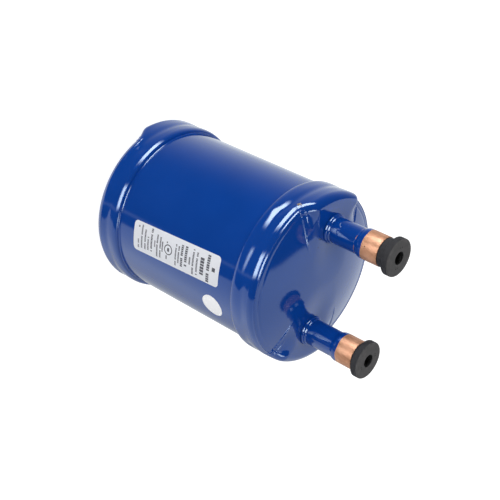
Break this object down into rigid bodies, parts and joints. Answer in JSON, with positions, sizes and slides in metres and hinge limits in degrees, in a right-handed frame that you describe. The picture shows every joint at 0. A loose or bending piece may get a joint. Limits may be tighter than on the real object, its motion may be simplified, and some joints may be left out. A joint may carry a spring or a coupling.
{
  "type": "suction line accumulator",
  "caption": "Short painted steel refrigerant accumulator with raised-land end caps, swaged copper sockets, rubber shipping plugs and an inner U-tube with oil return",
  "frame": {"origin": "centre of the flat that the vessel stands on", "axes": "+Z along the vessel towards the stubs, +X from the inlet stub to the outlet stub"},
  "size_m": [0.1068, 0.1068, 0.1911],
  "materials": {
    "blue_paint": "gloss",
    "copper": "brushed",
    "braze_alloy": "satin",
    "plug_rubber": "matte",
    "label_paper": "satin",
    "plain_steel": "satin",
    "turned_brass": "turned",
    "steel_mesh": "satin"
  },
  "bodies": {
    "root": {"shell": "blue_paint", "top_cap": "blue_paint", "bottom_cap": "blue_paint", "top_seam_braze": "blue_paint", "bottom_seam_braze": "blue_paint", "inlet_braze": "blue_paint", "outlet_braze": "blue_paint", "inlet_stub": "copper", "outlet_stub": "copper", "u_tube": "copper", "u_tube_braze": "braze_alloy", "inlet_plug": "plug_rubber", "outlet_plug": "plug_rubber", "data_label": "label_paper", "round_label": "label_paper", "inlet_deflector": "plain_steel", "tube_clip": "plain_steel", "oil_orifice": "turned_brass", "screen_cage": "turned_brass", "orifice_screen": "steel_mesh"}
  },
  "joints": []
}
